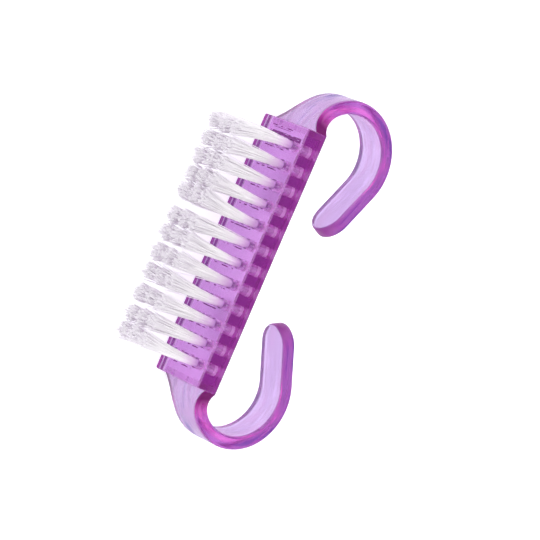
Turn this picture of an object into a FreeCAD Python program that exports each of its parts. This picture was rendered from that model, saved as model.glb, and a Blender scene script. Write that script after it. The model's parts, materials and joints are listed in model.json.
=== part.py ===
import FreeCAD
import Part
import math
import os

from FreeCAD import Vector

# A small nail brush. A see-through plastic moulding carries rows of nylon tufts on its front and
# two hooks on its back, which fingers or a rail go through. Each tuft is folded round a flat wire
# staple that holds it in a blind hole.
#
# The brush lies on one long side of its block. X runs along the block, -Y is where the bristles
# point, +Y is where the hooks point and Z is up. The origin is below the middle of the whole brush,
# on the surface that it lies on. All lengths are in millimetres.

# Block
block_length = 48.6
block_thickness = 4.3
block_width = 13.9
block_edge_radius = 0.35

# Tuft holes: the row margin runs from the block's ends to the outer rows' centres, and the columns
# stand about the middle of the block's width
rows = 12
columns = ("lower", "middle", "upper")
row_margin = 3.79
column_pitch = 3.45
hole_radius = 0.95
hole_floor = 0.73

# Hooks: the band leaves the block's end with its inner face tangent to the back face, is bent
# round an arc and then runs straight back towards the middle. The root margin is what the block's
# sides stand proud of the hook's flared root
hook_outer_radius = 10.35
hook_centre_inset = 1.95
hook_run_length = 10.9
hook_run_angle = 24.2
band_thickness = 2.5
band_width = 7.3
band_edge_radius = 0.5
root_margin = 0.2

# Tufts: they spread until their tips leave this gap to the nearest neighbour's. Their filaments
# clump into ridges, and their ends are uneven, with notches between clumps of filaments
bristle_length = 12.6
tuft_clearance = 0.03
tuft_tip_gap = 0.45
swell_height_share = 0.6
swell_radius_share = 0.48
tuft_ridges = 10
ridge_depth_share = 0.13
notch_depth = 1.1
notch_depth_shares = (0.6, 1.0, 0.75, 0.5, 0.9, 0.7)
notch_width_share = 0.8
notch_overrun_share = 0.2

# How far each row's tips lean along the block, as a share of the room between two rows' tips. A row
# leans towards the next by less than one share more than that one does, so that they stay clear
row_lean_shares = (1.65, 1.1, 0.34, -0.14, -0.96, 0.55, -0.27, -0.41, -0.41, 0, 0, -0.75)

# Staples of flat wire
staple_height = 1.3
staple_thickness = 0.3
staple_bite = 0.2
staple_clearance = 0.02
fold_thickness = 0.95

# Places that follow from these sizes
end_x = block_length / 2
centre_x = end_x - hook_centre_inset
hook_inner_radius = hook_outer_radius - band_thickness
hook_reach = hook_inner_radius + hook_outer_radius
overall_depth = bristle_length + block_thickness + hook_reach
face_y = bristle_length - overall_depth / 2
back_y = face_y + block_thickness
centre_y = back_y + hook_inner_radius
middle_z = block_width / 2
row_pitch = (block_length - 2 * row_margin) / (rows - 1)
hole_depth = block_thickness - hole_floor
tuft_tip_radius = (min(row_pitch, column_pitch) - tuft_tip_gap) / 2
notch_pitch = 2 * tuft_tip_radius / (len(notch_depth_shares) - 1)
golden_turn = math.pi * (3 - math.sqrt(5))
root_width = block_width - 2 * root_margin
run_turn = math.radians(hook_run_angle)


def on_hook(radius, turn, z=0):
    """The point at this radius of the hook's arc. turn is measured from +X, towards +Y."""
    return Vector(centre_x + radius * math.cos(turn), centre_y + radius * math.sin(turn), z)


def band_sector(width, start, end):
    """The bent band between two turns of its arc, with its width centred on the block's."""
    low = middle_z - width / 2
    turns = (start, (start + end) / 2, end)
    outer = [on_hook(hook_outer_radius, turn, low) for turn in turns]
    inner = [on_hook(hook_inner_radius, turn, low) for turn in reversed(turns)]
    edges = [
        Part.Arc(*outer).toShape(),
        Part.makeLine(outer[-1], inner[0]),
        Part.Arc(*inner).toShape(),
        Part.makeLine(inner[-1], outer[0]),
    ]
    return Part.Face(Part.Wire(edges)).extrude(Vector(0, 0, width))


def flare_plan():
    """The prism that trims the hook's root. From the block's end its sides curve in like a trumpet's,
    and they meet the band's sides at a tangent where the hook's inner face turns back."""
    inside = centre_x
    reach = centre_x + hook_inner_radius - end_x
    outside = centre_x + hook_outer_radius + band_thickness
    half, root = band_width / 2, root_width / 2
    rise = root - half
    flare_radius = (reach**2 + rise**2) / (2 * rise)
    half_turn = math.asin(reach / flare_radius) / 2

    def at(x, across):
        return Vector(x, face_y, middle_z + across)

    edges = [
        Part.makeLine(at(inside, root), at(inside, -root)),
        Part.makeLine(at(outside, half), at(outside, -half)),
    ]
    for side in (1, -1):
        start = at(end_x, side * root)
        middle_x = end_x + reach - flare_radius * math.sin(half_turn)
        middle = at(middle_x, side * (half + flare_radius * (1 - math.cos(half_turn))))
        finish = at(end_x + reach, side * half)
        edges += [
            Part.makeLine(at(inside, side * root), start),
            Part.Arc(start, middle, finish).toShape(),
            Part.makeLine(finish, at(outside, side * half)),
        ]
    wire = Part.Wire(Part.__sortEdges__(edges))
    return Part.Face(wire).extrude(Vector(0, block_thickness + hook_reach, 0))


def straight_run():
    """The straight end of the band, whose tip is a full round across its width."""
    along = Vector(-math.cos(run_turn), -math.sin(run_turn), 0)
    across = Vector(0, 0, band_width / 2)
    start = on_hook(hook_inner_radius, math.pi / 2 + run_turn, middle_z)
    tip = start + along * hook_run_length
    round_start = tip - along * (band_width / 2)
    edges = [
        Part.makeLine(start + across, round_start + across),
        Part.Arc(round_start + across, tip, round_start - across).toShape(),
        Part.makeLine(round_start - across, start - across),
        Part.makeLine(start - across, start + across),
    ]
    outward = Vector(-math.sin(run_turn), math.cos(run_turn), 0) * band_thickness
    return Part.Face(Part.Wire(edges)).extrude(outward)


def hook():
    """One hook, at the block's +X end. Its root starts inside the block, under the arc's centre."""
    root = band_sector(root_width, -math.pi / 2, 0).common(flare_plan())
    bend = band_sector(band_width, 0, math.pi / 2 + run_turn)
    arm = root.fuse([bend, straight_run()]).removeSplitter()
    return arm.makeFillet(band_edge_radius, [edge for edge in arm.Edges if is_side_edge(edge)])


def is_side_edge(edge):
    """True for an edge along the band's side, outside the block. Edges across the band's width or
    through its thickness are lines, and so are those of the root inside the block."""
    straight = edge.Curve.TypeId == "Part::GeomLine"
    box = edge.BoundBox
    across = straight and box.ZLength > band_edge_radius
    through = straight and abs(edge.Length - band_thickness) < band_edge_radius / 2
    return box.XMax > end_x and not across and not through


def hole_places():
    """Each hole's row number, column name and centre on the block's front face."""
    low_z = middle_z - column_pitch * (len(columns) - 1) / 2
    for row in range(rows):
        for column, name in enumerate(columns):
            x = row * row_pitch + row_margin - end_x
            z = column * column_pitch + low_z
            yield row + 1, name, Vector(x, face_y, z)


def staple(place, gap=0):
    """The flat wire across one hole's width, over the fold of its tuft. gap grows it all round."""
    length = 2 * (hole_radius + staple_bite + gap)
    height = staple_height + 2 * gap
    thickness = staple_thickness + 2 * gap
    low_y = place.y + hole_depth - fold_thickness - staple_height - gap
    corner = Vector(place.x - thickness / 2, low_y, place.z - length / 2)
    return Part.makeBox(thickness, height, length, corner)


def ridged_section(place, height_share, radius, lean):
    """A tuft's outline at a share of its height: ridges round a centre that has leant by then."""
    centre = place + Vector(lean * height_share**2, -bristle_length * height_share, 0)
    points = []
    for corner in range(2 * tuft_ridges):
        turn = math.pi * corner / tuft_ridges
        out = radius * (1 - ridge_depth_share * (corner % 2))
        points.append(centre + Vector(math.cos(turn), 0, math.sin(turn)) * out)
    return Part.makePolygon(points + points[:1])


def notches(tip, turn):
    """Wedges that part the clumps of filaments at a tuft's end. They lie side by side, turned about
    the tuft's axis."""
    along = Vector(math.cos(turn), 0, math.sin(turn)) * tuft_tip_radius
    across = Vector(-math.sin(turn), 0, math.cos(turn)) * notch_pitch
    for number, depth_share in enumerate(notch_depth_shares):
        inward = Vector(0, notch_depth * depth_share, 0)
        start = tip - along + across * (number - (len(notch_depth_shares) - 1) / 2)
        half = across * (notch_width_share / 2 * (1 + notch_overrun_share))
        outside = start - inward * notch_overrun_share
        points = (outside - half, start + inward, outside + half, outside - half)
        yield Part.Face(Part.makePolygon(points)).extrude(along * 2)


def tuft(place, number, lean_share):
    """One tuft: a plug in its hole that swells into a ridged, leaning bundle with an uneven end. It
    has room for its staple."""
    radius = hole_radius - tuft_clearance
    swell_radius = radius + swell_radius_share * (tuft_tip_radius - radius)
    lean = lean_share * (row_pitch - 2 * tuft_tip_radius)
    plug = Part.makeCylinder(radius, hole_depth - tuft_clearance, place, Vector(0, 1, 0))
    bundle = Part.makeLoft([
        ridged_section(place, 0, radius, lean),
        ridged_section(place, swell_height_share, swell_radius, lean),
        ridged_section(place, 1, tuft_tip_radius, lean),
    ], True)
    tip = place + Vector(lean, -bristle_length, 0)
    cuts = list(notches(tip, number * golden_turn))
    return plug.fuse(bundle).cut(cuts + [staple(place, staple_clearance)])


def body():
    """The moulding: the block and both hooks in one piece, with a blind hole for each tuft."""
    block = Part.makeBox(block_length, block_thickness, block_width, Vector(-end_x, face_y, 0))
    block = block.makeFillet(block_edge_radius, block.Edges)
    near_hook = hook()
    far_hook = near_hook.mirror(Vector(0, 0, 0), Vector(1, 0, 0))
    whole = block.fuse([near_hook, far_hook])
    cuts = []
    for _, _, place in hole_places():
        cuts.append(Part.makeCylinder(hole_radius, hole_depth, place, Vector(0, 1, 0)))
        cuts.append(staple(place, staple_clearance))
    return whole.cut(cuts).removeSplitter()


def save(shape, name):
    """Writes one node, after a look at whether its solids are sound."""
    if not shape.isValid() or not shape.Solids:
        raise ValueError(f"{name} is not a sound solid")
    shape.exportStep(f"parts/{name}.step")
    print(name, len(shape.Solids), "solids", round(shape.Volume, 2), "mm3")


os.makedirs("parts", exist_ok=True)
save(body(), "brush_body")
places = list(hole_places())
for number, (row, column, place) in enumerate(places):
    lean_share = row_lean_shares[(row - 1) % len(row_lean_shares)]
    save(tuft(place, number, lean_share), f"tuft_{row:02d}_{column}")
save(Part.makeCompound([staple(place) for _, _, place in places]), "anchor_staples")
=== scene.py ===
import json
import math

import bmesh
import bpy
import numpy as np
from mathutils import Matrix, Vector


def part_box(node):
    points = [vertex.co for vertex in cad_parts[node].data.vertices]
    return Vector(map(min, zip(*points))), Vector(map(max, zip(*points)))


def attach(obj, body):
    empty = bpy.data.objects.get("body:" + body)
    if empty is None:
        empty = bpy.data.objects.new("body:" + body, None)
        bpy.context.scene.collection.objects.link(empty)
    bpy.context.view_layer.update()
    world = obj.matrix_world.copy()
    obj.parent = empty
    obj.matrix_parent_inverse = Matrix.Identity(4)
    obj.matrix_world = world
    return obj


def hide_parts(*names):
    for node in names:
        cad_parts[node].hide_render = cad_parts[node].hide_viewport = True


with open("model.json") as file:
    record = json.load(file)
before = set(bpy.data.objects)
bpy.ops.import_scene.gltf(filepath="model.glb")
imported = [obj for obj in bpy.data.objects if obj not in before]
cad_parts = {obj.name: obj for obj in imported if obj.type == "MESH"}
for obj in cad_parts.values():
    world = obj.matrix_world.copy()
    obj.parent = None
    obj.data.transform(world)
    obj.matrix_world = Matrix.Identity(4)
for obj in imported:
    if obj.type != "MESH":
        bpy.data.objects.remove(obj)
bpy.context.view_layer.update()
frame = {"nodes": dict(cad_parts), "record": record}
scene = bpy.context.scene

# The camera looks down on the brush from in front of its bristles, from far off with a long lens.
# It is turned about its own axis, so that the block runs from the upper right to the lower left.
# Azimuth, elevation and roll are in degrees.
VIEW_AZIMUTH, VIEW_ELEVATION, VIEW_ROLL = 0.10, 53.5, 113.27
VIEW_DISTANCE = 0.600
FRAME_WIDTH = 0.09413
AIM_RIGHT, AIM_DOWN = 0.00352, 0.00228
SENSOR_WIDTH = 36.0
NEAREST_SHOWN = 0.06
LIGHT_BOUNCES = 32
BACK_FACE_Y = -0.00065

body_low, body_high = (np.array(corner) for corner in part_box("brush_body"))
staples_low, staples_high = (np.array(corner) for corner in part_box("anchor_staples"))
middle_z = (body_low[2] + body_high[2]) / 2
aim = np.array([0, BACK_FACE_Y, middle_z])


def unit(v):
    """The vector divided by its length."""
    return v / np.linalg.norm(v)


def direction(azimuth, elevation):
    """The unit vector from the brush to a place that is seen from it at these angles in degrees. At
    an azimuth of 0 it is in front of the bristles, and the azimuth grows towards +X."""
    turn, rise = math.radians(azimuth), math.radians(elevation)
    return np.array([math.sin(turn) * math.cos(rise), -math.cos(turn) * math.cos(rise), math.sin(rise)])


def pose(x_axis, y_axis, z_axis, origin):
    """The matrix that puts an object at an origin, turned to these three axes."""
    return Matrix(np.vstack([np.column_stack([x_axis, y_axis, z_axis, origin]), [0, 0, 0, 1]]).tolist())


to_camera = direction(VIEW_AZIMUTH, VIEW_ELEVATION)
level_up = unit(np.array([0, 0, 1]) - to_camera * to_camera[2])
level_right = np.cross(level_up, to_camera)
roll = math.radians(VIEW_ROLL)
right = math.cos(roll) * level_right + math.sin(roll) * level_up
up = -math.sin(roll) * level_right + math.cos(roll) * level_up
station = aim + to_camera * VIEW_DISTANCE + right * AIM_RIGHT - up * AIM_DOWN

camera = bpy.data.objects.new("camera", bpy.data.cameras.new("camera"))
camera.data.sensor_width = SENSOR_WIDTH
camera.data.lens = SENSOR_WIDTH * VIEW_DISTANCE / FRAME_WIDTH
camera.data.clip_start = NEAREST_SHOWN
camera.matrix_world = pose(right, up, to_camera, station)
scene.collection.objects.link(camera)
scene.camera = camera
scene.view_settings.view_transform = "Standard"
scene.cycles.max_bounces = LIGHT_BOUNCES
scene.cycles.transmission_bounces = LIGHT_BOUNCES
scene.cycles.glossy_bounces = LIGHT_BOUNCES
scene.cycles.diffuse_bounces = LIGHT_BOUNCES


# The studio: a white card sweep under the brush, soft light from all round, and three softboxes. The
# camera sees the sweep brighter than it lights the brush. The plastic shows and mirrors it darker
# and bluer, under a sky that is dusky at the back, as the dim parts of a real studio would be.
SWEEP_SIZE = 1.2
SWEEP_DROP = 0.00004
SWEEP_SHADE = 0.66
SWEEP_COLOUR, SWEEP_GLOW, SHOWN_GLOW = "F7F9FF", 0.56, 0.74
HIDDEN_COLOUR, HIDDEN_GLOW = "BCB0EC", 0.31
DUSK_COLOUR, DUSK_AZIMUTH, DUSK_ELEVATION = "80609C", 180, 37
DUSK_START, DUSK_FULL = 0.3, 0.85
# The sky's strength on what it shines on directly, and on what it reaches through the plastic. The
# second is raised, because the plastic would otherwise shade its holes and the sweep too much
SURROUND_LIGHT, INNER_LIGHT = 1.0, 2.0
LAMPS = {  # azimuth, elevation, distance, size and power
    "key_softbox": (-55, 50, 0.50, 0.12, 0.25),
    "fill_softbox": (120, 35, 0.55, 0.16, 0.12),
    "back_softbox": (180, 55, 0.50, 0.12, 1.6),
}

# Settings that more than one node has
PLUS, MINUS, TIMES = {"operation": "ADD"}, {"operation": "SUBTRACT"}, {"operation": "MULTIPLY"}
LARGER, ABOVE = {"operation": "MAXIMUM"}, {"operation": "GREATER_THAN"}
CLAMPED_MINUS = {"operation": "SUBTRACT", "use_clamp": True}
COLOURS = {"data_type": "RGBA"}


def linear(colour):
    """An sRGB hex colour as linear red, green, blue and an alpha of 1."""
    values = np.array([int(colour[i:i + 2], 16) for i in (0, 2, 4)]) / 255
    values = np.where(values <= 0.04045, values / 12.92, ((values + 0.055) / 1.055) ** 2.4)
    return (*values.tolist(), 1.0)


def node(tree, kind, settings, *values, **named):
    """Adds a node. Settings are its properties. Values go to its sockets in order, and named ones to
    the socket of that name, with _ for a space, or to a numbered one such as in_6. A value is set on
    its socket, an output is linked to it, and a node stands for its own first output."""
    made = tree.nodes.new(f"ShaderNode{kind}")
    for name, value in settings.items():
        setattr(made, name, value)
    sockets = dict(enumerate(values))
    for name, value in named.items():
        sockets[int(name[3:]) if name.startswith("in_") else name.replace("_", " ")] = value
    for key, value in sockets.items():
        value = value.outputs[0] if isinstance(value, bpy.types.Node) else value
        if isinstance(value, bpy.types.NodeSocket):
            tree.links.new(value, made.inputs[key])
        else:
            made.inputs[key].default_value = value
    return made


def seen_plainly(tree):
    """A node that is 1 for rays from the camera, mirrored rays and rays through clear plastic, as long
    as nothing matt has scattered them: the largest of the three, less the number of scatterings."""
    path = node(tree, "LightPath", {})
    shiny = node(tree, "Math", LARGER, path.outputs["Is Glossy Ray"], path.outputs["Is Transmission Ray"])
    straight = node(tree, "Math", LARGER, path.outputs["Is Camera Ray"], shiny)
    return node(tree, "Math", CLAMPED_MINUS, straight, path.outputs["Diffuse Depth"])


def new_material(name):
    """An empty material and its node tree."""
    material = bpy.data.materials.new(name)
    material.use_nodes = True
    material.node_tree.nodes.clear()
    return material, material.node_tree


def new_mesh(name, points, faces, material):
    """A smooth mesh object at the origin with one material."""
    mesh = bpy.data.meshes.new(name)
    mesh.from_pydata(np.asarray(points).reshape(-1, 3).tolist(), [], [list(face) for face in faces])
    mesh.shade_smooth()
    mesh.update()
    made = bpy.data.objects.new(name, mesh)
    scene.collection.objects.link(made)
    if material:
        mesh.materials.append(material)
    return made


world = bpy.data.worlds.new("studio")
scene.world = world
world.use_nodes = True
tree = world.node_tree
tree.nodes.clear()
ray = node(tree, "TexCoord", {}).outputs["Generated"]
to_dusk = direction(DUSK_AZIMUTH, DUSK_ELEVATION)
nearness = node(tree, "VectorMath", {"operation": "DOT_PRODUCT"}, ray, to_dusk).outputs["Value"]
dusk = node(tree, "MapRange", {"interpolation_type": "SMOOTHSTEP"}, nearness, DUSK_START, DUSK_FULL)
sky = node(tree, "Mix", COLOURS, in_0=dusk, in_6=linear("FFFFFF"), in_7=linear(DUSK_COLOUR))
shown = node(tree, "Background", {}, sky.outputs[2])
through = node(tree, "LightPath", {}).outputs["Is Transmission Ray"]
soft_light = node(tree, "MapRange", {}, through, 0, 1, SURROUND_LIGHT, INNER_LIGHT)
cast = node(tree, "Background", {}, linear("FFFFFF"), soft_light)
node(tree, "OutputWorld", {}, node(tree, "MixShader", {}, seen_plainly(tree), cast, shown))

card, tree = new_material("white card sweep")
to_eye = node(tree, "LightPath", {}).outputs["Is Camera Ray"]
hidden = node(tree, "Math", CLAMPED_MINUS, seen_plainly(tree), to_eye)
facing = node(tree, "MapRange", {}, to_eye, 0, 1, SWEEP_GLOW, SHOWN_GLOW)
strength = node(tree, "MapRange", {}, hidden, 0, 1, facing, HIDDEN_GLOW)
tint = node(tree, "Mix", COLOURS, in_0=hidden, in_6=linear(SWEEP_COLOUR), in_7=linear(HIDDEN_COLOUR))
glow = node(tree, "Emission", {}, tint.outputs[2], strength)
shade = node(tree, "BsdfDiffuse", {}, (SWEEP_SHADE, SWEEP_SHADE, SWEEP_SHADE, 1))
node(tree, "OutputMaterial", {}, node(tree, "AddShader", {}, shade, glow))

corners = np.array([(-1, -1, 0), (1, -1, 0), (1, 1, 0), (-1, 1, 0)]) * SWEEP_SIZE / 2 - [0, 0, SWEEP_DROP]
sweep = new_mesh("sweep", corners, [(0, 1, 2, 3)], card)

for name, (azimuth, elevation, distance, size, power) in LAMPS.items():
    light = bpy.data.lights.new(name, "AREA")
    light.energy, light.size = power, size
    lamp = bpy.data.objects.new(name, light)
    away = direction(azimuth, elevation)
    level = unit(np.cross([0, 0, 1], away))
    lamp.matrix_world = pose(level, np.cross(away, level), away, aim + away * distance)
    scene.collection.objects.link(lamp)

# The back softbox whitens the sweep and leaves the brush as it is
lit_alone = bpy.data.collections.new("sweep")
lit_alone.objects.link(sweep)
bpy.data.objects["back_softbox"].light_linking.receiver_collection = lit_alone


# The moulding: block and hooks are one injection moulding of dyed polystyrene. The hooks are flat
# bands that flare into the block's ends, and the block's front has a blind hole for each tuft.
BLOCK_LENGTH, BLOCK_THICKNESS = 0.0486, 0.0043
BLOCK_EDGE = 0.00035
HOOK_OUTER_RADIUS = 0.01035
BAND_THICKNESS, BAND_WIDTH, BAND_EDGE = 0.0025, 0.0073, 0.0005
RUN_LENGTH = 0.0109
RUN_TURN = math.radians(24.2)
BEND_END = math.pi / 2 + RUN_TURN
ROOT_MARGIN = 0.0002
HOLE_RADIUS, HOLE_DEPTH = 0.00095, 0.00357
TUFT_CLEARANCE = 0.00003
COLUMN_PITCH = 0.00345
STAPLE_THICKNESS = 0.0003
ARC_STEP = math.radians(1.0)
EDGE_STEPS = 6
TIP_STEPS = 24
HOLE_SIDES = 40
MERGE_DISTANCE = 1e-7
SHARP_ANGLE = math.radians(30)

end_x = BLOCK_LENGTH / 2
face_y = BACK_FACE_Y - BLOCK_THICKNESS
block_low = np.array([-end_x, face_y, body_low[2]])
block_high = np.array([end_x, BACK_FACE_Y, body_high[2]])
mounts = {mount["name"]: mount["pos_m"] for mount in frame["record"]["mounts"]}
centre_x, centre_y = mounts["right_hook"][:2]
hook_inner_radius = HOOK_OUTER_RADIUS - BAND_THICKNESS


def quads(rows, columns, around=False):
    """Faces of a grid of points, stored row by row. With around, the last column joins the first."""
    last = columns if around else columns - 1
    i, k = np.meshgrid(np.arange(rows - 1), np.arange(last), indexing="ij")
    j = (k + 1) % columns
    low, high = i * columns, (i + 1) * columns
    return np.stack([low + k, low + j, high + j, high + k], -1).reshape(-1, 4)


def rounded_box(low, high, radius):
    """A box with rounded edges. Each of its six sides is a grid of directions, up to 45 degrees
    either way; a point is the nearest corner of the inner box plus the radius along its direction."""
    half, centre = (high - low) / 2, (high + low) / 2
    turns = np.radians(np.linspace(0, 45, EDGE_STEPS + 1))
    slopes = np.tan(np.concatenate([-turns[::-1], turns]))
    signs = np.repeat([-1, 1], EDGE_STEPS + 1)
    points, faces = [], []
    for axis in range(3):
        for side in (-1, 1):
            n = np.empty((len(slopes), len(slopes), 3))
            n[..., axis] = side
            n[..., (axis + 1) % 3] = slopes[:, None]
            n[..., (axis + 2) % 3] = slopes[None, :]
            corner = np.empty_like(n)
            corner[..., axis] = side
            corner[..., (axis + 1) % 3] = signs[:, None]
            corner[..., (axis + 2) % 3] = signs[None, :]
            n /= np.linalg.norm(n, axis=-1, keepdims=True)
            grid = quads(len(slopes), len(slopes)) + sum(len(p) for p in points)
            faces.append(grid if side > 0 else grid[:, ::-1])
            points.append((centre + corner * (half - radius) + n * radius).reshape(-1, 3))
    return np.vstack(points), np.vstack(faces)


def half_width(x):
    """Half the band's width at a distance from the brush's middle. Its sides leave the block's end
    and curve in like a trumpet's, on an arc that is tangent to the band where the bend begins."""
    reach = centre_x + hook_inner_radius
    root = middle_z - ROOT_MARGIN
    rise, run = root - BAND_WIDTH / 2, reach - end_x
    radius = (run**2 + rise**2) / (2 * rise)
    left = np.clip(reach - x, 0, run)
    return BAND_WIDTH / 2 + radius - np.sqrt(radius**2 - left**2)


def hook_surface():
    """The right hook's band: a rounded rectangle carried along its bend and straight end. At the tip
    the rectangle's half width follows a half circle, and each rounded edge follows its own."""
    corner = np.linspace(0, math.pi / 2, EDGE_STEPS + 1)
    inset = BAND_EDGE * (1 - np.sin(corner))
    depth = BAND_EDGE * (1 - np.cos(corner))
    inset = np.concatenate([inset, inset[::-1], inset, inset[::-1]])
    depth = np.concatenate([depth, BAND_THICKNESS - depth[::-1], BAND_THICKNESS - depth, depth[::-1]])
    side = np.repeat([1, 1, -1, -1], EDGE_STEPS + 1)

    turns = np.linspace(-math.pi / 2, BEND_END, round((math.pi / 2 + BEND_END) / ARC_STEP) + 1)
    radius = hook_inner_radius + depth
    x = centre_x + radius * np.cos(turns)[:, None]
    y = centre_y + radius * np.sin(turns)[:, None]
    plan_x = np.where(turns[:, None] < 0, x, centre_x + hook_inner_radius)
    z = side * (half_width(plan_x) - inset)
    bend = np.stack([x, y, z], -1)

    tip_radius = BAND_WIDTH / 2
    tip_turns = np.linspace(0, math.pi / 2, TIP_STEPS)[:, None]
    along = RUN_LENGTH - tip_radius + (tip_radius - inset) * np.sin(tip_turns)
    across = side * (tip_radius - inset) * np.cos(tip_turns)
    x = centre_x + radius * math.cos(BEND_END) - along * math.cos(RUN_TURN)
    y = centre_y + radius * math.sin(BEND_END) - along * math.sin(RUN_TURN)
    tip = np.stack([x, y, across], -1)

    grid = np.concatenate([bend, tip]) + [0, 0, middle_z]
    rows, columns = grid.shape[:2]
    faces = [list(face) for face in quads(rows, columns, around=True)]
    return grid.reshape(-1, 3), faces + [list(range(columns))[::-1]]


def hole_surface(x, z, low_y, high_y, radius):
    """A plain cylinder along Y with both ends closed: x + r cos(turn), z + r sin(turn)."""
    turns = np.linspace(0, 2 * math.pi, HOLE_SIDES, endpoint=False)
    ring = np.stack([x + radius * np.cos(turns), 0 * turns, z + radius * np.sin(turns)], -1)
    points = np.concatenate([ring + [0, low_y, 0], ring + [0, high_y, 0]])
    first = list(range(HOLE_SIDES))
    faces = [list(face) for face in quads(2, HOLE_SIDES, around=True)]
    return points, faces + [first[::-1], [k + HOLE_SIDES for k in first]]


def joined(surfaces):
    """Several surfaces as one list of points and one of faces."""
    points, faces, count = [], [], 0
    for some_points, some_faces in surfaces:
        points.append(some_points)
        faces += [[int(k) + count for k in face] for face in some_faces]
        count += len(some_points)
    return np.vstack(points), faces


def tidy(thing):
    """Merges a mesh's double points and turns its faces outwards."""
    mesh = bmesh.new()
    mesh.from_mesh(thing.data)
    bmesh.ops.remove_doubles(mesh, verts=mesh.verts, dist=MERGE_DISTANCE)
    bmesh.ops.recalc_face_normals(mesh, faces=mesh.faces)
    mesh.to_mesh(thing.data)
    mesh.free()
    return thing


def combine(thing, other, operation):
    """Adds other to thing, or cuts it away, and deletes it."""
    change = thing.modifiers.new(operation, "BOOLEAN")
    change.operation, change.solver, change.object = operation, "EXACT", other
    result = bpy.data.meshes.new_from_object(thing.evaluated_get(bpy.context.evaluated_depsgraph_get()))
    thing.modifiers.clear()
    thing.data = result
    bpy.data.objects.remove(other)


rows = sorted({name.split("_")[1] for name in frame["nodes"] if name.startswith("tuft_")})
columns = {"lower": middle_z - COLUMN_PITCH, "middle": middle_z, "upper": middle_z + COLUMN_PITCH}
first_row, last_row = staples_low[0] + STAPLE_THICKNESS / 2, staples_high[0] - STAPLE_THICKNESS / 2
row_centres = np.linspace(first_row, last_row, len(rows))
row_pitch = row_centres[1] - row_centres[0]
hole_places = {(row, column): (x, z) for row, x in zip(rows, row_centres) for column, z in columns.items()}

moulding = tidy(new_mesh("violet_moulding", *rounded_box(block_low, block_high, BLOCK_EDGE), None))
for side in (1, -1):
    points, faces = hook_surface()
    combine(moulding, tidy(new_mesh("arm", points * [side, 1, 1], faces, None)), "UNION")
outside_y, floor_y = face_y - HOLE_RADIUS, face_y + HOLE_DEPTH
holes = [hole_surface(x, z, outside_y, floor_y, HOLE_RADIUS) for x, z in hole_places.values()]
combine(moulding, tidy(new_mesh("holes", *joined(holes), None)), "DIFFERENCE")

# Weighted normals keep the large faces flat beside their rounded edges
moulding.data.shade_smooth()
moulding.data.set_sharp_from_angle(angle=SHARP_ANGLE)
weights = moulding.modifiers.new("weights", "WEIGHTED_NORMAL")
weights.keep_sharp = True
weights.mode = "FACE_AREA"

# Dyed general-purpose polystyrene, injection moulded in a polished steel tool: it is glassy, with a
# faint ripple, and a little duller on the hooks. In each millimetre the dye takes out about 5, 19
# and 6 % of red, green and blue, so thin bands are pale and the block is plum from edge to edge.
PLASTIC_COLOUR, PLASTIC_IOR = "EEFFFF", 1.57
BLOCK_ROUGHNESS, HOOK_ROUGHNESS = 0.11, 0.24
RIPPLE_SIZES, RIPPLE_HEIGHT = (0.00625, 0.00625, 0.00111), 0.00004
ABSORBED_PER_METRE = np.array([55.0, 208.0, 58.0])
DYE_DENSITY = 320.0
# How near a point has to be to a face to count as lying on it
SKIN = 0.0001

# A weak haze scatters some light all over the moulding. Each mark below takes the haze's place where
# it lies: it has a colour, and the share of the light that it scatters. A ramp gives the start and
# end of a value and, unless they are 0 and 1, what it is turned into there.
HAZE_COLOUR, BLOCK_HAZE, HOOK_HAZE = "FF30D8", 0.07, 0.02

# The holes' walls are rough and scatter light. Their share grows towards the holes' ends as painted light,
# and the ends have a painted white highlight
WALL_COLOUR, WALL_LIGHT_RAMP = "F8ECFB", (face_y + HOLE_DEPTH / 3, floor_y, 0.12, 0.8)
HOLE_END_HIGHLIGHT_COLOUR, HOLE_END_HIGHLIGHT_SHARE, HOLE_END_HIGHLIGHT_DEPTH = "FFFFFF", 0.95, 0.0007

# Broken dark lines on the front face: one beside each row of holes, and three at the block's -X end. Each
# has its reach in X and in Z, and the level of the grain above which it shows
DARK_LINE_COLOUR, DARK_LINE_SHARE = "640A62", 0.8
DARK_LINE_SIZES = (0.000417, 0.000417, 0.00143)
HOLE_DARK_LINE = (row_centres[0] + 0.00114, row_centres[0] + 0.00134, 0.0036, 0.0098, 0.47)
END_DARK_LINES = (
    (-0.0221, -0.0213, 0.0034, 0.0132, 0.44),
    (-0.0219, -0.0215, 0.0060, 0.0120, 0.30),
    (-0.02275, -0.02265, 0.0042, 0.0094, 0.0),
)

# Bands of light and shade run along the block: on its upper side, by their reach in Y, and low on its
# front face, by their reach in Z
SIDE_BANDS = (
    (face_y, face_y + 0.00030, 0.28, "F4A4FC"),
    (face_y + 0.00030, BACK_FACE_Y - 0.00095, 0.12, "EC5CCC"),
    (BACK_FACE_Y - 0.00095, BACK_FACE_Y - 0.00025, 0.65, "983E96"),
    (BACK_FACE_Y - 0.00025, BACK_FACE_Y, 0.55, "4A1050"),
)
FACE_BANDS = (
    (0.0003, 0.0010, 0.30, "E04CC8"),
    (0.0011, 0.0015, 0.42, "F6CCFC"),
    (0.0022, 0.0028, 0.32, "F4CCFC"),
)
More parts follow.
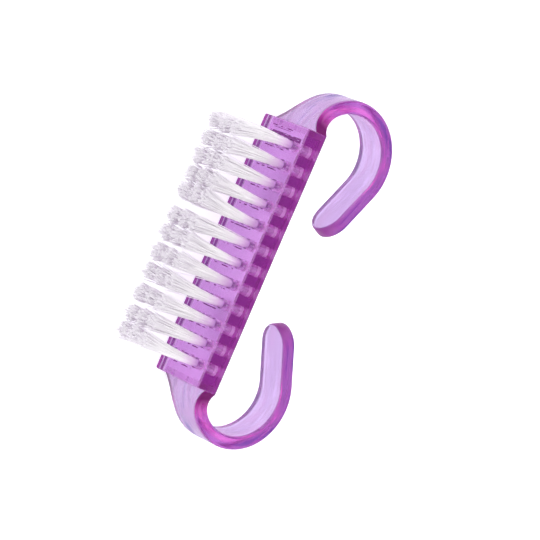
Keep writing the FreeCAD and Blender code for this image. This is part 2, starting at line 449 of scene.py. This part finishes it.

# The plastic drew out streaks as it flowed along the hooks. They are strong on a band's narrow sides and
# weak on its broad ones. Painted light and shade are laid on them: a painted pink highlight inwards and
# near the block, painted blue shade outwards and onwards, and painted dark shade at the root and at the
# tip. Their sizes are out from the bend's centre, round it in radians, and up. A turn is -pi / 2 at the
# block and nears pi at the tip
STREAK_SIZES = (0.000714, 0.833, 0.00143)
OUTWARD_RAMP = (hook_inner_radius, HOOK_OUTER_RADIUS, -0.12, 0.12)
ONWARD_RAMP = (-math.pi / 2, 1.3, -0.16, 0.11)
BROAD_STRENGTH = 0.42
STREAK_HIGHLIGHT_COLOUR, STREAK_HIGHLIGHT_SHARE, STREAK_HIGHLIGHT_RAMP = "FF7CE4", 0.44, (0.52, 0.34)
STREAK_SHADE_COLOUR, STREAK_SHADE_SHARE, STREAK_SHADE_RAMP = "4A38A0", 0.45, (0.60, 0.74)
ROOT_SHADE_COLOUR, ROOT_SHADE_SHARE, ROOT_SHADE_RAMP = "6E0C5C", 0.85, (-0.75, -1.2)
TIP_SHADE_COLOUR, TIP_SHADE_SHARE, TIP_SHADE_RAMP = "A83098", 0.40, (2.62, 2.85)

# The broad sides have painted pale light, most of all on the flare, which also has streaks of painted blue
# shade
PALE_LIGHT_COLOUR, PALE_LIGHT_RAMP = "F0ECFF", (-0.2, 0.5, 0.15, 0.04)
FLARE_SHADE_COLOUR, FLARE_SHADE_SHARE, FLARE_SHADE_RAMP, FLARE_SHADE_GRAIN = "4C2CA4", 0.55, (0.2, -0.1), (0.55, 0.68)

plastic, tree = new_material("violet polystyrene")
place = node(tree, "TexCoord", {}).outputs["Object"]
across, deep, high = node(tree, "SeparateXYZ", {}, place).outputs


def inside(value, low, high):
    """A mask of the plastic: 1 where a value lies between two others and 0 elsewhere."""
    return node(tree, "Math", {"operation": "COMPARE"}, value, (low + high) / 2, (high - low) / 2)


def grain(vector, sizes):
    """Noise in the plastic whose spots have these sizes along a vector's three axes."""
    spots = node(tree, "VectorMath", {"operation": "DIVIDE"}, vector, sizes)
    return node(tree, "TexNoise", {}, spots, Scale=1.0, Detail=2.0)


outward = node(tree, "Math", {"operation": "ABSOLUTE"}, across)
past_end = node(tree, "Math", ABOVE, outward, end_x)
past_back = node(tree, "Math", ABOVE, deep, BACK_FACE_Y + SKIN / 2)
on_hook = node(tree, "Math", LARGER, past_end, past_back)
gloss = node(tree, "MapRange", {}, on_hook, 0, 1, BLOCK_ROUGHNESS, HOOK_ROUGHNESS)
ripple = node(tree, "Bump", {}, Height=grain(place, RIPPLE_SIZES), Strength=1.0, Distance=RIPPLE_HEIGHT)
clear = node(tree, "BsdfPrincipled", {}, Base_Color=linear(PLASTIC_COLOUR), Roughness=gloss,
             IOR=PLASTIC_IOR, Transmission_Weight=1.0, Normal=ripple)

# Where a point is on a hook: its turn about the bend's centre, and how far out it is in the band. On
# the straight end the second is measured square to the band
ahead, behind = node(tree, "Math", MINUS, outward, centre_x), node(tree, "Math", MINUS, deep, centre_y)
spoke = node(tree, "CombineXYZ", {}, ahead, behind)
turned = node(tree, "Math", {"operation": "ARCTAN2"}, behind, ahead)
on_bend = node(tree, "VectorMath", {"operation": "LENGTH"}, spoke).outputs["Value"]
square = (math.cos(BEND_END), math.sin(BEND_END), 0)
on_run = node(tree, "VectorMath", {"operation": "DOT_PRODUCT"}, spoke, square).outputs["Value"]
carried = node(tree, "MapRange", {}, node(tree, "Math", ABOVE, turned, BEND_END), 0, 1, on_bend, on_run)
narrow = inside(carried, hook_inner_radius + SKIN, HOOK_OUTER_RADIUS - SKIN)
broad = node(tree, "Math", MINUS, 1.0, narrow)
streak_strength = node(tree, "MapRange", {}, narrow, 0, 1, BROAD_STRENGTH, 1.0)

streaks = grain(node(tree, "CombineXYZ", {}, carried, turned, high), STREAK_SIZES)
flare_shade_streaks = node(tree, "MapRange", {}, streaks, *FLARE_SHADE_GRAIN)
at_flare = node(tree, "MapRange", {}, turned, *FLARE_SHADE_RAMP)
outwards = node(tree, "MapRange", {}, carried, *OUTWARD_RAMP)
onwards = node(tree, "MapRange", {}, turned, *ONWARD_RAMP)
streaks = node(tree, "Math", PLUS, streaks, node(tree, "Math", PLUS, outwards, onwards))
streak_highlight = node(tree, "MapRange", {}, streaks, *STREAK_HIGHLIGHT_RAMP)
streak_shade = node(tree, "MapRange", {}, streaks, *STREAK_SHADE_RAMP)
at_root = node(tree, "MapRange", {}, turned, *ROOT_SHADE_RAMP)
at_tip = node(tree, "MapRange", {}, turned, *TIP_SHADE_RAMP)

# A box just inside the block's faces, in which the holes' walls are the only surface
wall_x, wall_z = row_centres[-1] + 2 * HOLE_RADIUS, COLUMN_PITCH + 2 * HOLE_RADIUS
in_holes = [
    inside(across, -wall_x, wall_x),
    inside(deep, face_y + TUFT_CLEARANCE, BACK_FACE_Y - TUFT_CLEARANCE),
    inside(high, middle_z - wall_z, middle_z + wall_z),
]
at_front = inside(deep, face_y - BLOCK_EDGE, face_y + BLOCK_EDGE)
at_top = inside(high, block_high[2] - BLOCK_EDGE, block_high[2] + BLOCK_EDGE)
beside_hole = node(tree, "Math", {"operation": "WRAP"}, across, row_centres[0] + row_pitch / 2,
                   row_centres[0] - row_pitch / 2)
dark_line_grain = grain(place, DARK_LINE_SIZES)

# Each mark has the masks that it lies inside, its share and its colour. A later one hides the earlier
marks = [(in_holes, node(tree, "MapRange", {}, deep, *WALL_LIGHT_RAMP), WALL_COLOUR)]
for value, dark_line in [(beside_hole, HOLE_DARK_LINE)] + [(across, dark_line) for dark_line in END_DARK_LINES]:
    x_low, x_high, z_low, z_high, level = dark_line
    broken = node(tree, "Math", ABOVE, dark_line_grain, level)
    masks = [at_front, inside(value, x_low, x_high), inside(high, z_low, z_high), broken]
    marks.append((masks, DARK_LINE_SHARE, DARK_LINE_COLOUR))
marks += [([at_top, inside(deep, y_low, y_high)], *look) for y_low, y_high, *look in SIDE_BANDS]
marks += [([at_front, inside(high, z_low, z_high)], *look) for z_low, z_high, *look in FACE_BANDS]
marks += [
    # Painted pale light and painted blue shade on the hooks' broad sides
    ([on_hook, broad], node(tree, "MapRange", {}, turned, *PALE_LIGHT_RAMP), PALE_LIGHT_COLOUR),
    ([on_hook, broad, at_flare, flare_shade_streaks], FLARE_SHADE_SHARE, FLARE_SHADE_COLOUR),
    # Painted highlight and shade streaks, and painted dark shade at the hooks' roots and tips
    ([on_hook, streak_strength, streak_highlight], STREAK_HIGHLIGHT_SHARE, STREAK_HIGHLIGHT_COLOUR),
    ([on_hook, streak_strength, streak_shade], STREAK_SHADE_SHARE, STREAK_SHADE_COLOUR),
    ([on_hook, narrow, at_root], ROOT_SHADE_SHARE, ROOT_SHADE_COLOUR),
    ([on_hook, narrow, at_tip], TIP_SHADE_SHARE, TIP_SHADE_COLOUR),
    # A painted white highlight at the holes' ends
    ([*in_holes, inside(deep, floor_y - HOLE_END_HIGHLIGHT_DEPTH, floor_y + SKIN)], HOLE_END_HIGHLIGHT_SHARE, HOLE_END_HIGHLIGHT_COLOUR),
]

share, colour = node(tree, "MapRange", {}, on_hook, 0, 1, BLOCK_HAZE, HOOK_HAZE), linear(HAZE_COLOUR)
for masks, mark_share, mark_colour in marks:
    mask = masks[0]
    for other in masks[1:]:
        mask = node(tree, "Math", TIMES, mask, other)
    share = node(tree, "MapRange", {}, mask, 0, 1, share, mark_share)
    colour = node(tree, "Mix", COLOURS, in_0=mask, in_6=colour, in_7=linear(mark_colour)).outputs[2]

body = node(tree, "MixShader", {}, share, clear, node(tree, "BsdfDiffuse", {}, colour))
passed = 1 - ABSORBED_PER_METRE / DYE_DENSITY
dye = node(tree, "VolumeAbsorption", {}, Color=(*passed.tolist(), 1), Density=DYE_DENSITY)
node(tree, "OutputMaterial", {}, body, dye)
moulding.data.materials.clear()
moulding.data.materials.append(plastic)

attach(moulding, "root")
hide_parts("brush_body")


# The tufts: some seventy nylon filaments are folded double over each staple and pushed into a hole.
# They fan out from the hole's mouth, and their trimmed ends are uneven and stand in loose clumps.
FILAMENTS, FILAMENT_RADIUS, FILAMENT_SIDES = 72, 0.000068, 5
BRISTLE_LENGTH = 0.0126
TIP_RADIUS, SPREAD_BEND = 0.00150, 1.4
MOUTH_SHARE = 0.80
STAPLE_ROOM = 0.00002
TIP_JITTER, LENGTH_JITTER = 0.00028, 0.0005
CLUMPS, CLUMP_STRAY, CLUMP_SHORTFALL = 6, 0.00006, 0.0002
# Shares of the bristles' length at which a filament's rings stand, from its end to the hole's mouth
STATION_SHARES = np.array([1.0, 0.97, 0.85, 0.68, 0.5, 0.32, 0.16, 0.05])
# How far the bundle draws in at the staple's near edge, at its far edge and in the fold
NEAR_GATHER, FAR_GATHER, FOLD_GATHER = 0.95, 0.90, 0.85
# How far each row's tips lean along the block, as a share of the room between two rows' tips
ROW_LEAN_SHARES = (1.65, 1.1, 0.34, -0.14, -0.96, 0.55, -0.27, -0.41, -0.41, 0, 0, -0.75)
GOLDEN_TURN = math.pi * (3 - math.sqrt(5))


def tuft_surface(x, z, lean, seed):
    """A bundle of filaments folded double. Their ends fill a disc in a sunflower's spiral, and each
    filament has one end on either side of the staple. At a share s of the bristles' length the disc
    has grown from the hole's towards the tip's by a power of s, the bundle leans and an end strays by
    s squared, and a filament curls by s (1 - s). Rings along these paths make the surface."""
    draw = np.random.default_rng(seed)
    ends = 2 * FILAMENTS
    k = np.arange(ends)
    out = np.sqrt((k + 0.5) / ends)
    turn = k * GOLDEN_TURN + draw.uniform(0, 2 * math.pi)
    disc = np.stack([out * np.cos(turn), out * np.sin(turn)], -1)
    disc = disc[np.argsort(disc[:, 0])]
    far, near = disc[:FILAMENTS], disc[FILAMENTS:]
    far, near = far[np.argsort(far[:, 1])], near[np.argsort(near[:, 1])]

    hole_room = HOLE_RADIUS - TUFT_CLEARANCE - FILAMENT_RADIUS
    tip_room = TIP_RADIUS - FILAMENT_RADIUS
    mouth_room = hole_room * MOUTH_SHARE
    beside_staple = STAPLE_THICKNESS / 2 + STAPLE_ROOM + FILAMENT_RADIUS
    share = STATION_SHARES[:, None, None]
    room = mouth_room + (tip_room - mouth_room) * share**SPREAD_BEND
    same = np.zeros(FILAMENTS)
    clump_stray = draw.normal(0, CLUMP_STRAY, (CLUMPS, 2))
    clump_shortfall = draw.uniform(0, CLUMP_SHORTFALL, CLUMPS)
    clump_turn = draw.uniform(0, 1)
    halves = []
    for places in (far, near):
        around = np.arctan2(places[:, 1], places[:, 0]) / (2 * math.pi) + clump_turn
        clump = (around % 1 * CLUMPS).astype(int)
        length = BRISTLE_LENGTH - FILAMENT_RADIUS - np.abs(draw.normal(0, LENGTH_JITTER, FILAMENTS))
        length = length - clump_shortfall[clump]
        stray = draw.normal(0, TIP_JITTER, (FILAMENTS, 2)) + clump_stray[clump]
        curl = draw.normal(0, TIP_JITTER, (FILAMENTS, 2))
        spread = [x, z] + places * room + stray * share**2 + curl * share * (1 - share)
        spread[..., 0] += lean * share[..., 0]**2
        outside = np.stack([spread[..., 0], face_y - length * share[..., 0], spread[..., 1]], -1)
        wide, tall = places[:, 0], places[:, 1]
        beside = np.sign(wide) * np.maximum(np.abs(wide) * hole_room, beside_staple)
        near_z, far_z = (z + tall * hole_room * gather for gather in (NEAR_GATHER, FAR_GATHER))
        in_hole = [
            np.stack([x + wide * mouth_room, face_y + same, z + tall * mouth_room], -1),
            np.stack([x + beside, staples_low[1] + same, near_z], -1),
            np.stack([x + beside * FAR_GATHER, staples_high[1] + same, far_z], -1),
        ]
        halves.append(np.concatenate([outside, in_hole]))
    fold_y = staples_high[1] + FILAMENT_RADIUS
    room_below = floor_y - FILAMENT_RADIUS - fold_y
    fold_share = (np.abs(far[:, 0]) + np.abs(near[:, 0])) / 2
    fold_z = z + (far[:, 1] + near[:, 1]) / 2 * hole_room * FOLD_GATHER
    fold = np.stack([x + same, fold_y + fold_share * room_below, fold_z], -1)[None]
    paths = np.concatenate([halves[0], fold, halves[1][::-1]])

    tangent = np.gradient(paths, axis=0)
    tangent /= np.linalg.norm(tangent, axis=-1, keepdims=True)
    first = np.array([0, 0, 1]) - tangent * tangent[..., 2:]
    first /= np.linalg.norm(first, axis=-1, keepdims=True)
    second = np.cross(tangent, first)
    turns = np.linspace(0, 2 * math.pi, FILAMENT_SIDES, endpoint=False)
    ring = first[..., None, :] * np.cos(turns)[:, None] + second[..., None, :] * np.sin(turns)[:, None]
    points = (paths[..., None, :] + ring * FILAMENT_RADIUS).transpose(1, 0, 2, 3)

    stations = points.shape[1]
    points_each = stations * FILAMENT_SIDES
    starts = np.arange(FILAMENTS) * points_each
    cap = np.arange(FILAMENT_SIDES)
    sides = quads(stations, FILAMENT_SIDES, around=True)[None] + starts[:, None, None]
    faces = sides.reshape(-1, 4).tolist()
    faces += (cap[None, ::-1] + starts[:, None]).tolist()
    faces += (cap[None] + (points_each - FILAMENT_SIDES) + starts[:, None]).tolist()
    return points.reshape(-1, 3), faces


# Nylon 6 monofilament, extruded and drawn: opaque white with a soft shine along each filament. The tint
# paints the violet light of the block into the tufts' roots, and a little grey shade into their tips. Each
# tint has its place on the way from the bristles' tips, at 0, to the holes' ends, at 1
NYLON_IOR, NYLON_ROUGHNESS, NYLON_SPECULAR = 1.53, 0.5, 0.3
NYLON_TINTS = (
    (0.00, "F6F2F7"), (0.10, "F9F6FA"), (0.35, "FEFCFE"), (0.55, "FCF8FC"), (0.62, "FAECFC"),
    (0.70, "F3D8F7"), (0.76, "E6BAEE"), (0.82, "D2A0E0"), (0.90, "FFFFFF"), (1.00, "FFFFFF"),
)

nylon, tree = new_material("white nylon filament")
depth = node(tree, "SeparateXYZ", {}, node(tree, "TexCoord", {}).outputs["Object"]).outputs[1]
tint = node(tree, "ValToRGB", {}, node(tree, "MapRange", {}, depth, face_y - BRISTLE_LENGTH, floor_y))
stops = tint.color_ramp.elements
stops[0].color, stops[1].color = linear(NYLON_TINTS[0][1]), linear(NYLON_TINTS[-1][1])
for position, colour in NYLON_TINTS[1:-1]:
    stops.new(position).color = linear(colour)
solid = node(tree, "BsdfPrincipled", {}, Base_Color=tint, Roughness=NYLON_ROUGHNESS, IOR=NYLON_IOR,
             Specular_IOR_Level=NYLON_SPECULAR)
node(tree, "OutputMaterial", {}, solid)

row_room = row_pitch - 2 * TIP_RADIUS
for number, ((row, column), (x, z)) in enumerate(hole_places.items()):
    lean = ROW_LEAN_SHARES[rows.index(row)] * row_room
    tuft = new_mesh(f"bristles_{row}_{column}", *tuft_surface(x, z, lean, number), nylon)
    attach(tuft, "root")
    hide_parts(f"tuft_{row}_{column}")


# The staples: short lengths of flat drawn steel wire. Each lies across the fold of its tuft, with its
# ends driven into the hole's walls. They are the CAD's own, with the dull shine of drawn wire.
WIRE_COLOUR, WIRE_METALLIC, WIRE_ROUGHNESS = "F4F1F6", 0.6, 0.6

wire, tree = new_material("drawn steel wire")
metal = node(tree, "BsdfPrincipled", {}, Base_Color=linear(WIRE_COLOUR), Metallic=WIRE_METALLIC,
             Roughness=WIRE_ROUGHNESS)
node(tree, "OutputMaterial", {}, metal)
staples = frame["nodes"]["anchor_staples"]
staples.data.materials.clear()
staples.data.materials.append(wire)
